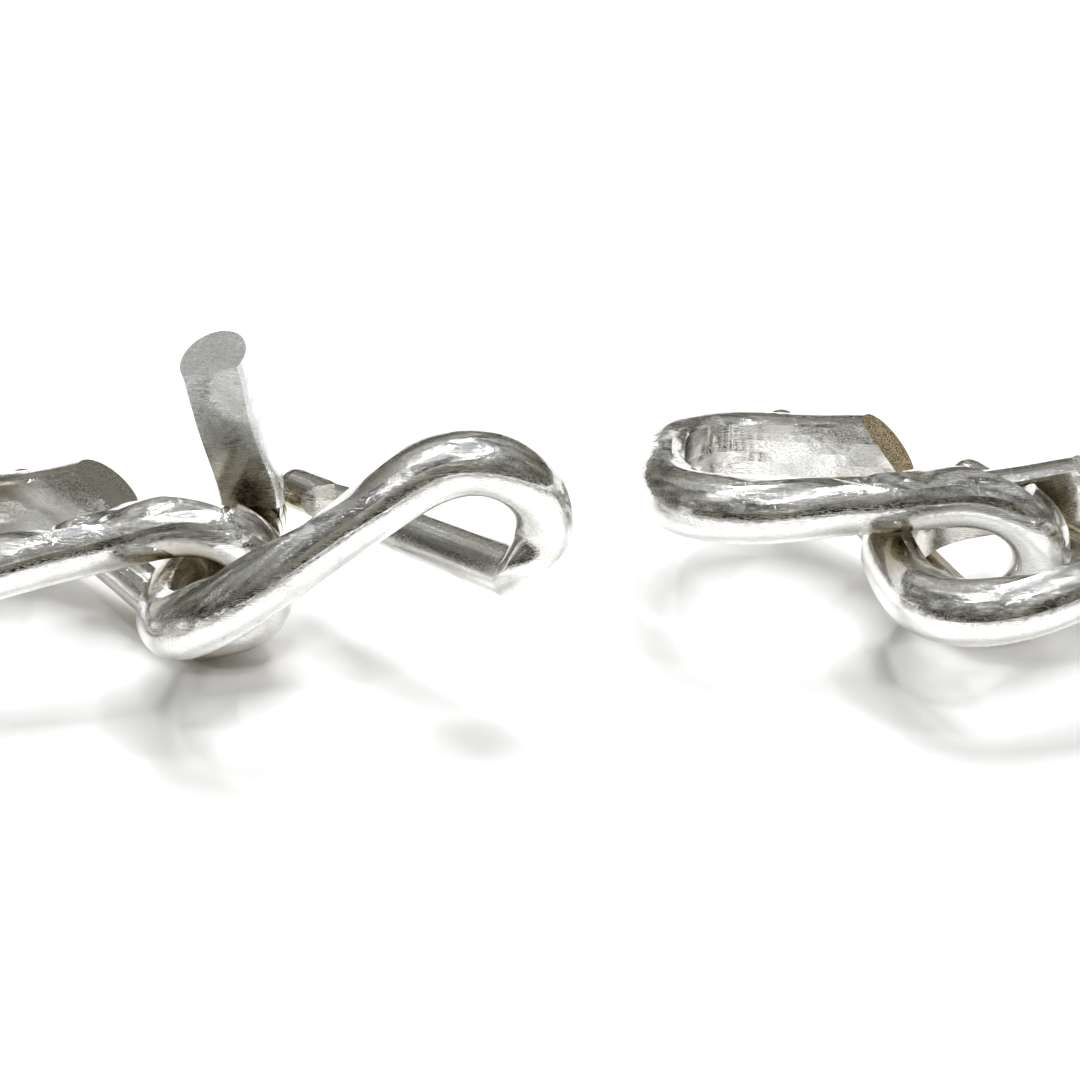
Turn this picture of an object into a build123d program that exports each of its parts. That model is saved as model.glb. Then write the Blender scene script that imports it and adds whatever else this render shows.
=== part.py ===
from build123d import *
from math import sin, cos, radians, acos
import os

# Heavy silver link bracelet, laid open on a table. Every link is one bent bar with a flat inner
# face: a wide eye at one end, a long near arm, a hook-shaped turn, and a thin round tail that runs
# back under the cut end of the far arm, where it is soldered. The last link is the clasp: a hinged
# lever takes the place of its far arm.

# bar
GIRTH = 2.55         # diameter of the bar's round outer side
THICK = 2.0          # from the flat inner face to the round outer side
TAIL = 1.95          # tail diameter where it leaves the turn
TIP = 1.6            # diameter at the tail's rounded tip
# link, measured between centre lines
REACH = 11.9         # from the eye's closed end to the start of the turn
EYE = 8.75           # across the eye
TURN = 5.6           # diameter of the turn
LEAN = 72            # how far the turn's plane dips below the eye's plane, degrees
# clasp
KNUCKLE = 2.1        # hinge knuckle diameter
TONGUE = 0.75        # thickness of the lever's middle knuckle
PIN = 0.75           # hinge pin diameter
PIN_RUN = 0.1        # clearance of the pin in the lever, on the radius
RUN = 0.2            # clearance of the lever from the knuckles and from the tail
SIDE_RUN = 0.12      # clearance on each side of the tongue
LEVER_MORE = 2.5     # how much the lever outreaches a soldered arm
OPEN = 57            # how far the lever stands open, degrees

# Bar stations from the cut end round the eye to the start of the turn.
# columns: along (of REACH), across (of half EYE), up (of TURN), flat face looks to (x, y, z), flat
STATIONS = [
    (0.749, 0.49, 0.13, (-0.2, -1.0, 0.1), 1.0),
    (0.629, 0.65, 0.09, (-0.2, -1.0, 0.1), 1.0),
    (0.449, 0.87, 0.03, (-0.1, -1.0, 0.0), 1.0),
    (0.258, 0.99, 0.00, (0.1, -1.0, 0.0), 1.0),
    (0.083, 0.78, 0.00, (0.7, -0.7, 0.0), 1.0),
    (0.000, 0.31, 0.00, (1.0, -0.2, 0.0), 1.0),
    (0.000, -0.31, 0.00, (1.0, 0.2, 0.0), 1.0),
    (0.078, -0.78, 0.00, (0.7, 0.7, 0.1), 1.0),
    (0.248, -1.01, 0.00, (0.1, 1.0, 0.4), 1.0),
    (0.429, -0.99, 0.01, (0.0, 0.7, 0.7), 1.0),
    (0.629, -0.83, 0.03, (0.0, 0.3, 1.0), 0.9),
    (0.830, -0.66, 0.05, (0.0, 0.0, 1.0), 0.6),
    (1.000, -0.49, 0.05, (0.0, -0.3, 1.0), 0.2),
]
TURN_STEPS = [45, 90, 135, 178]             # degrees round the turn
TAIL_END = (0.388, 1.39, 0.0)               # along, across and up, as above
HINGE_STATION = 3                           # the clasp's hinge stands at this station

# Chosen resting places of the links, in order from the free eye to the clasp, going the plain way
# round on the table. columns: x, y, z of the eye's closed end; heading, hook end up, far side up
CHAIN = [
    (4.6, -3.7, 5.65, -4.0, 0.25, -15.0),
    (13.5, -8.7, 4.3, 12.25, 7.5, -7.25),
    (24.9, -7.3, 3.6, -23.5, 11.0, -1.25),
    (35.4, -12.9, 3.45, -51.5, 11.5, 3.25),
    (42.5, -22.3, 3.5, -80.75, 11.5, 9.5),
    (43.55, -33.45, 3.25, -109.25, 12.0, 16.75),
    (39.15, -44.15, 3.0, -136.0, 12.75, 20.5),
    (30.55, -51.4, 2.65, -159.75, 13.75, 24.25),
    (19.4, -54.85, 2.55, -178.5, 14.0, 25.5),
    (7.8, -54.4, 2.4, 166.25, 14.75, 26.25),
    (-3.45, -50.9, 2.35, 152.75, 16.5, 27.0),
    (-13.7, -45.1, 2.8, 137.75, 12.5, 28.5),
    (-22.25, -37.15, 2.5, 109.5, 18.5, 32.0),
    (-25.85, -25.85, 3.05, 94.75, 16.5, 39.75),
    (-26.55, -13.75, 2.9, 81.25, 25.75, 46.25),
    (-25.25, -6.5, 3.85, 0.5, 8.75, -16.0),
    (-13.85, -9.9, 3.9, 2.5, 32.0, -14.75),
]

HALF = EYE / 2


def spot(along, across, up):
    return Vector(along * REACH, across * HALF, up * TURN)


def placed(x, y, z, heading, pitch, roll):
    turn = Location((0, 0, 0), (0, 0, heading)) * Location((0, 0, 0), (0, -pitch, 0))
    return Location((x, y, z)) * turn * Location((0, 0, 0), (roll, 0, 0))


def station_plane(at, heading, flat_to, flat, girth):
    """Plane of a bar section, its y axis towards the flat face."""
    along = heading.normalized()
    toward = (flat_to - along * flat_to.dot(along)).normalized()
    back = flat * (girth - THICK * girth / GIRTH) / 2
    return Plane(origin=at + toward * back, x_dir=toward.cross(along), z_dir=along)


def bar_section(plane, girth, flat):
    """A circle of the bar's girth, cut flat on its +y side as far as flat says."""
    r = girth / 2
    chord = r * (2 * THICK / GIRTH - 1)
    half = acos(chord / r)
    side = (half + radians(180)) / 2
    right, left = (r * sin(half), chord), (-r * sin(half), chord)
    crown = r - 0.97 * flat * (r - chord)
    with BuildSketch(plane) as outline:
        with BuildLine():
            ThreePointArc(right, (r * sin(side), r * cos(side)), (0, -r))
            ThreePointArc((0, -r), (-r * sin(side), r * cos(side)), left)
            ThreePointArc(left, (0, crown), right)
        make_face()
    return outline.sketch


# centre line of the whole bar
dip = Vector(0, cos(radians(LEAN)), -sin(radians(LEAN)))
turn_top = spot(*STATIONS[-1][:3])
rows = [(spot(a, c, u), Vector(*look), flat, GIRTH) for a, c, u, look, flat in STATIONS]
for step in TURN_STEPS:
    swing = Vector(sin(radians(step)), 0, 0) + dip * (1 - cos(radians(step)))
    inward = Vector(-sin(radians(step)), 0, 0) + dip * cos(radians(step))
    share = step / TURN_STEPS[-1]
    rows.append((turn_top + swing * (TURN / 2), inward, 0.0, GIRTH + (TAIL - GIRTH) * share))
tail_end = spot(*TAIL_END)
tail_start = rows[-1][0]
ends = [rows[0][0] * 2 - rows[1][0]] + [r[0] for r in rows] + [tail_end]
# the flat side fades out smoothly in the turn
looks = [r[1] for r in rows]
looks[len(STATIONS)] = looks[len(STATIONS) - 1]
planes = []
for i, (at, look, flat, girth) in enumerate(rows):
    heading = ends[i + 2] - ends[i]
    if i == len(rows) - 1:
        heading = tail_end - tail_start
    planes.append((station_plane(at, heading, look, flat, girth), girth, flat))

# the mitred cut at the far arm's end
arm_run = (rows[0][0] - rows[1][0]).normalized()
mitre = Plane(origin=rows[0][0], z_dir=arm_run + Vector(0, 0.15, 0.75))
tail_run = (tail_end - tail_start).normalized()
tail_plane = Plane(origin=tail_start, z_dir=tail_run)
tail_length = (tail_end - tail_start).length

first = planes[0][0]
beyond = Plane(origin=first.origin + arm_run * GIRTH * 0.7, x_dir=first.x_dir, z_dir=first.z_dir)
bar = [bar_section(*plane) for plane in planes]

with BuildPart() as tail:
    with BuildSketch(tail_plane):
        Circle(TAIL / 2)
    with BuildSketch(tail_plane.offset(tail_length)):
        Circle(TIP / 2)
    loft()
    with Locations(tail_plane.offset(tail_length)):
        Sphere(TIP / 2)

with BuildPart() as bent_link:
    loft([bar_section(beyond, GIRTH, STATIONS[0][4])] + bar)
    with Locations(mitre.offset(GIRTH)):
        Box(GIRTH * 3, GIRTH * 3, GIRTH * 2, mode=Mode.SUBTRACT)
    add(tail.part)

# clasp link: the bar starts at the hinge, with two outer knuckles
hinge = rows[HINGE_STATION][0]
hinge_plane = Plane(origin=hinge, x_dir=(1, 0, 0), z_dir=(0, 1, 0))
slot = TONGUE + 2 * SIDE_RUN
with BuildPart() as clasp_body:
    loft(bar[HINGE_STATION:])
    add(tail.part)
    with Locations(hinge_plane):
        Cylinder(KNUCKLE / 2, THICK)
        with Locations((KNUCKLE / 2, 0, 0)):
            Box(2 * KNUCKLE + 2 * RUN, 2 * GIRTH, slot, mode=Mode.SUBTRACT)
        Cylinder(PIN / 2, 2 * THICK, mode=Mode.SUBTRACT)

# lever, shaped closed and then swung open about the hinge
lever_run = (rows[HINGE_STATION - 1][0] - hinge).normalized()
lever_root = hinge + lever_run * (KNUCKLE / 2 + RUN)
root_plane = station_plane(lever_root, Vector(1, 0, 0), rows[HINGE_STATION][1], 1.0, GIRTH)
lever_end = Plane(origin=rows[0][0] + arm_run * LEVER_MORE, z_dir=arm_run + Vector(0, 0, 0.15))
lever_far = Plane(origin=first.origin + arm_run * (LEVER_MORE + GIRTH * 0.5), x_dir=first.x_dir,
                  z_dir=first.z_dir)
with BuildPart() as lever:
    loft([bar_section(lever_far, GIRTH, 1.0)] + bar[:HINGE_STATION]
         + [bar_section(root_plane, GIRTH, 1.0)])
    with Locations(lever_end.offset(GIRTH)):
        Box(GIRTH * 3, GIRTH * 3, GIRTH * 2, mode=Mode.SUBTRACT)
    with Locations(hinge_plane):
        Cylinder(KNUCKLE / 2, TONGUE)
        with Locations(((KNUCKLE / 2 + 2 * RUN) / 2, 0, 0)):
            Box(KNUCKLE / 2 + 2 * RUN, KNUCKLE * 0.9, TONGUE)
        Cylinder(PIN / 2 + PIN_RUN, 2 * THICK, mode=Mode.SUBTRACT)
    with Locations(tail_plane.offset(tail_length / 2)):
        Cylinder(TAIL / 2 + RUN, tail_length, mode=Mode.SUBTRACT)

with BuildPart() as pin:
    with Locations(hinge_plane):
        Cylinder(PIN / 2, THICK)

last = placed(*CHAIN[-1])
parts = []
for n, row in enumerate(CHAIN[:-1]):
    with BuildPart() as link:
        add(bent_link.part.moved(placed(*row)))
    parts.append((f"link_{n + 1:02d}", link.part))
with BuildPart() as clasp_link:
    add(clasp_body.part.moved(last))
parts.append(("clasp_link", clasp_link.part))
with BuildPart() as clasp_lever:
    add(lever.part.rotate(Axis(hinge, (0, 1, 0)), -OPEN).moved(last))
parts.append(("clasp_lever", clasp_lever.part))
with BuildPart() as hinge_pin:
    add(pin.part.moved(last))
parts.append(("hinge_pin", hinge_pin.part))

# the origin is the middle of the whole bracelet's box, at table height
box = Compound([piece for _, piece in parts]).bounding_box()
home = Location((-box.center().X, -box.center().Y, -box.min.Z))
os.makedirs("parts", exist_ok=True)
for name, piece in parts:
    piece = piece.moved(home)
    piece.label = name
    print(name, len(piece.solids()), round(piece.volume, 1))
    export_step(piece, f"parts/{name}.step")
spindle = (home * last * Location(hinge)).position
axis = Plane(home * last).y_dir
print("hinge at", tuple(spindle), "axis", tuple(axis), "home", tuple(home.position))
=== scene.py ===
import bpy
from math import radians, sin, cos
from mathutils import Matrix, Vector

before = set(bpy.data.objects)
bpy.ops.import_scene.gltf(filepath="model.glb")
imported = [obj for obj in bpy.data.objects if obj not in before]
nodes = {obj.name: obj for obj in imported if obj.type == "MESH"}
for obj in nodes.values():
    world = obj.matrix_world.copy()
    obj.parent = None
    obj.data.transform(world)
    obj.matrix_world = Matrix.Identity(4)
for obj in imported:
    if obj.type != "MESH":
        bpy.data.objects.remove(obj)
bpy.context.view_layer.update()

# View. The bracelet lies open on a white table and is looked at from the front and above with a
# long lens, so that the clasp's end comes in from the left and the free end from the right.
LOOK_AT = Vector((-0.00917, 0.0293, 0.0))
LOOK_DOWN = radians(35)
LENS_AWAY = 0.1547
bpy.ops.object.select_all(action="DESELECT")
camera_place = LOOK_AT + Vector((0, -cos(LOOK_DOWN), sin(LOOK_DOWN))) * LENS_AWAY
bpy.ops.object.camera_add(location=camera_place, rotation=(radians(90) - LOOK_DOWN, 0, 0))
camera = bpy.context.object
camera.name = "camera"
camera.data.lens = 128.3
camera.data.sensor_width = 36
camera.data.clip_start = 0.01
bpy.context.scene.camera = camera
bpy.context.scene.view_settings.view_transform = "Standard"

# Table. A matt white sheet.
bpy.ops.object.select_all(action="DESELECT")
bpy.ops.mesh.primitive_plane_add(size=3, location=(0, 0, 0))
table = bpy.context.object
table.name = "table"
sheet = bpy.data.materials.new("white table")
sheet.use_nodes = True
sheet_bsdf = sheet.node_tree.nodes["Principled BSDF"]
sheet_bsdf.inputs["Base Color"].default_value = (0.9, 0.9, 0.9, 1)
sheet_bsdf.inputs["Roughness"].default_value = 1.0
sheet_bsdf.inputs["Specular IOR Level"].default_value = 0.0
table.data.materials.append(sheet)

# Room. Dark and warm at eye height, grey above, with patches of lighter and darker things all
# round, which the polished bars mirror.
room = bpy.data.worlds.new("room")
bpy.context.scene.world = room
room.use_nodes = True
room_nodes, room_wires = room.node_tree.nodes, room.node_tree.links
way = room_nodes.new("ShaderNodeTexCoord")
split_way = room_nodes.new("ShaderNodeSeparateXYZ")
height_tones = room_nodes.new("ShaderNodeValToRGB")
room_wires.new(way.outputs["Generated"], split_way.inputs[0])
room_wires.new(split_way.outputs["Z"], height_tones.inputs[0])
tones = height_tones.color_ramp.elements
tones[0].position, tones[0].color = 0.0, (0.02, 0.018, 0.013, 1)
tones[1].position, tones[1].color = 1.0, (0.30, 0.31, 0.32, 1)
for place, tone in ((0.12, (0.04, 0.036, 0.026, 1)), (0.3, (0.15, 0.14, 0.11, 1)),
                    (0.55, (0.34, 0.335, 0.31, 1))):
    tones.new(place).color = tone
things = room_nodes.new("ShaderNodeTexNoise")
things.inputs["Scale"].default_value = 3.6
things.inputs["Detail"].default_value = 5
room_wires.new(way.outputs["Generated"], things.inputs["Vector"])
spread = room_nodes.new("ShaderNodeMapRange")
room_wires.new(things.outputs[0], spread.inputs["Value"])
for socket, value in (("From Min", 0.4), ("From Max", 0.64), ("To Min", 0.3), ("To Max", 2.3)):
    spread.inputs[socket].default_value = value
room_wires.new(height_tones.outputs[0], room_nodes["Background"].inputs["Color"])
room_wires.new(spread.outputs[0], room_nodes["Background"].inputs["Strength"])

# Lamps. A wide soft box over the table, too soft to be seen in the silver, and a few small ceiling
# lamps that sparkle in it.
LAMPS = (("soft box", (0.05, 0.3, 0.8), 0.5, 0.45, 7, False),
         ("front box", (-0.2, -0.5, 0.8), 0.6, 0.5, 1.5, False),
         ("ceiling lamp 1", (-0.3, 0.1, 0.9), 0.10, 0.05, 1.2, True),
         ("ceiling lamp 2", (0.3, -0.1, 0.9), 0.10, 0.05, 1.2, True),
         ("ceiling lamp 3", (0.02, -0.35, 0.85), 0.10, 0.05, 1.0, True),
         ("ceiling lamp 4", (-0.1, 0.5, 0.9), 0.10, 0.05, 1.0, True))
for name, place, wide, deep, watts, seen in LAMPS:
    bpy.ops.object.light_add(type="AREA", location=place)
    lamp = bpy.context.object
    lamp.name = name
    lamp.data.shape = "RECTANGLE"
    lamp.data.size, lamp.data.size_y = wide, deep
    lamp.data.energy = watts
    lamp.visible_glossy = seen
    lamp.rotation_euler = (LOOK_AT - Vector(place)).to_track_quat("-Z", "Y").to_euler()

# Links. Solid silver bar, bent and soldered, polished all over. Wear has left dull patches, pits
# and fine scratches. A brown painted shade darkens the nooks in place of the shade and dark
# reflections there.
silver = bpy.data.materials.new("polished silver")
silver.use_nodes = True
grain = silver.node_tree.nodes
wires = silver.node_tree.links
shine = grain["Principled BSDF"]
shine.inputs["Metallic"].default_value = 1.0
spot_at = grain.new("ShaderNodeTexCoord").outputs["Object"]


def ramp(source, low, high, first, last, name="range"):
    """Maps source from low..high to first..last."""
    node = grain.new("ShaderNodeMapRange")
    node.name = name
    wires.new(source, node.inputs["Value"])
    for socket, value in (("From Min", low), ("From Max", high), ("To Min", first),
                          ("To Max", last)):
        node.inputs[socket].default_value = value
    return node.outputs["Result"]


def cloud(scale, detail, stretch=(1, 1, 1), turned=(0, 0, 0)):
    """Noise on object coordinates, scale per metre, stretched along one way for scratches."""
    place = grain.new("ShaderNodeMapping")
    place.inputs["Scale"].default_value = stretch
    place.inputs["Rotation"].default_value = turned
    wires.new(spot_at, place.inputs["Vector"])
    noise = grain.new("ShaderNodeTexNoise")
    noise.inputs["Scale"].default_value = scale
    noise.inputs["Detail"].default_value = detail
    wires.new(place.outputs[0], noise.inputs["Vector"])
    return noise.outputs[0]


def blend(share, first, second, name="blend"):
    """Mixes two colours by share."""
    node = grain.new("ShaderNodeMix")
    node.name = name
    node.data_type = "RGBA"
    wires.new(share, node.inputs["Factor"])
    for socket, value in ((node.inputs[6], first), (node.inputs[7], second)):
        if isinstance(value, tuple):
            socket.default_value = value
        else:
            wires.new(value, socket)
    return node.outputs[2]


def add_up(first, second, how="ADD"):
    """Joins two values."""
    node = grain.new("ShaderNodeMath")
    node.operation = how
    for socket, value in zip(node.inputs, (first, second)):
        if isinstance(value, float):
            socket.default_value = value
        else:
            wires.new(value, socket)
    return node.outputs[0]


WEAR_SCALE, PIT_SCALE, SCRATCH_SCALE = 600, 2600, 1500
SCRATCH_STRETCH = (1, 16, 16)
SCRATCH_TURNS = ((0.3, 0.2, 0.5), (1.1, 0.4, 2.0), (0.2, 1.3, 1.2))
BRIGHT = (0.82, 0.82, 0.81, 1)
WORN = (0.69, 0.68, 0.65, 1)
MARKED = (0.45, 0.43, 0.38, 1)
# The next colour is the brown of the painted shade and dark reflections in the nooks.
PAINTED_SHADE_BROWN = (0.42, 0.37, 0.26, 1)
PAINTED_SHADE_REACH = 0.0022
DENT_DEPTH = 0.00005
wear = ramp(cloud(WEAR_SCALE, 5), 0.42, 0.68, 0.0, 1.0)
pits = ramp(cloud(PIT_SCALE, 3), 0.62, 0.70, 0.0, 1.0)
scratches = None
for turned in SCRATCH_TURNS:
    lines = ramp(cloud(SCRATCH_SCALE, 3, SCRATCH_STRETCH, turned), 0.58, 0.66, 0.0, 1.0)
    scratches = lines if scratches is None else add_up(scratches, lines, "MAXIMUM")
marks = add_up(scratches, pits, "MAXIMUM")
rough = add_up(ramp(wear, 0, 1, 0.04, 0.16, "dullness"), ramp(marks, 0, 1, 0.0, 0.14))
wires.new(rough, shine.inputs["Roughness"])
# Painted shade: ambient occlusion lays a brown into the nooks and the gaps between bars, where
# shade and dark reflections fall.
painted_shade_ao = grain.new("ShaderNodeAmbientOcclusion")
painted_shade_ao.samples = 6
painted_shade_ao.inputs["Distance"].default_value = PAINTED_SHADE_REACH
painted_shade_share = ramp(painted_shade_ao.outputs["AO"], 0.3, 0.92, 1.0, 0.0)
metal = blend(wear, BRIGHT, WORN, "wear tones")
marked = blend(ramp(marks, 0, 1, 0.0, 0.45), metal, MARKED)
marked_and_shaded = blend(painted_shade_share, marked, PAINTED_SHADE_BROWN, "painted nook shade")
waves = add_up(cloud(230, 2), ramp(cloud(900, 3), 0, 1, 0.0, 0.28, "hammering"))
dent = grain.new("ShaderNodeBump")
dent.inputs["Distance"].default_value = DENT_DEPTH
dent.inputs["Strength"].default_value = 0.6
wires.new(add_up(waves, ramp(marks, 0, 1, 0.0, -0.05)), dent.inputs["Height"])
wires.new(dent.outputs[0], shine.inputs["Normal"])

# The first link's cut end is given a gold-brown face, picked out by its place and by the way it
# faces.
CUT_AT = (0.00448, 0.02723, 0.00589)
CUT_FACES = (0.682, -0.083, 0.727)
CUT_FROM, CUT_TO = 0.0016, 0.0019
CUT_END_GOLD = (0.62, 0.47, 0.24, 1)
away = grain.new("ShaderNodeVectorMath")
away.operation = "DISTANCE"
away.inputs[1].default_value = CUT_AT
wires.new(spot_at, away.inputs[0])
facing = grain.new("ShaderNodeVectorMath")
facing.operation = "DOT_PRODUCT"
facing.inputs[1].default_value = CUT_FACES
wires.new(grain.new("ShaderNodeNewGeometry").outputs["True Normal"], facing.inputs[0])
cut_face = add_up(ramp(away.outputs["Value"], CUT_FROM, CUT_TO, 1.0, 0.0),
                  ramp(facing.outputs["Value"], 0.93, 0.97, 0.0, 1.0), "MULTIPLY")
wires.new(blend(cut_face, marked_and_shaded, CUT_END_GOLD, "cut end gold"), shine.inputs["Base Color"])
for name, node in nodes.items():
    if name.startswith("link"):
        node.data.materials.clear()
        node.data.materials.append(silver)

# Clasp link. The same bar, more worn where the clasp is handled.
handled = silver.copy()
handled.name = "handled silver"
handled_nodes = handled.node_tree.nodes
handled_nodes["wear tones"].inputs[7].default_value = (0.62, 0.61, 0.57, 1)
handled_nodes["dullness"].inputs["To Max"].default_value = 0.24
nodes["clasp_link"].data.materials.clear()
nodes["clasp_link"].data.materials.append(handled)

# Lever. Its flat is rubbed bright and cool by the thumb, with close small dents.
thumbed = silver.copy()
thumbed.name = "thumbed silver"
thumbed_nodes = thumbed.node_tree.nodes
thumbed_nodes["wear tones"].inputs[6].default_value = (0.84, 0.86, 0.87, 1)
thumbed_nodes["wear tones"].inputs[7].default_value = (0.66, 0.68, 0.69, 1)
thumbed_nodes["dullness"].inputs["To Min"].default_value = 0.12
thumbed_nodes["dullness"].inputs["To Max"].default_value = 0.3
thumbed_nodes["hammering"].inputs["To Max"].default_value = 0.5
nodes["clasp_lever"].data.materials.clear()
nodes["clasp_lever"].data.materials.append(thumbed)

# Hinge pin. Unpolished and tarnished between the knuckles.
tarnished = silver.copy()
tarnished.name = "tarnished pin"
tarnished_nodes = tarnished.node_tree.nodes
tarnished_nodes["wear tones"].inputs[6].default_value = (0.60, 0.58, 0.53, 1)
tarnished_nodes["wear tones"].inputs[7].default_value = (0.42, 0.39, 0.32, 1)
tarnished_nodes["dullness"].inputs["To Min"].default_value = 0.25
tarnished_nodes["dullness"].inputs["To Max"].default_value = 0.4
nodes["hinge_pin"].data.materials.clear()
nodes["hinge_pin"].data.materials.append(tarnished)
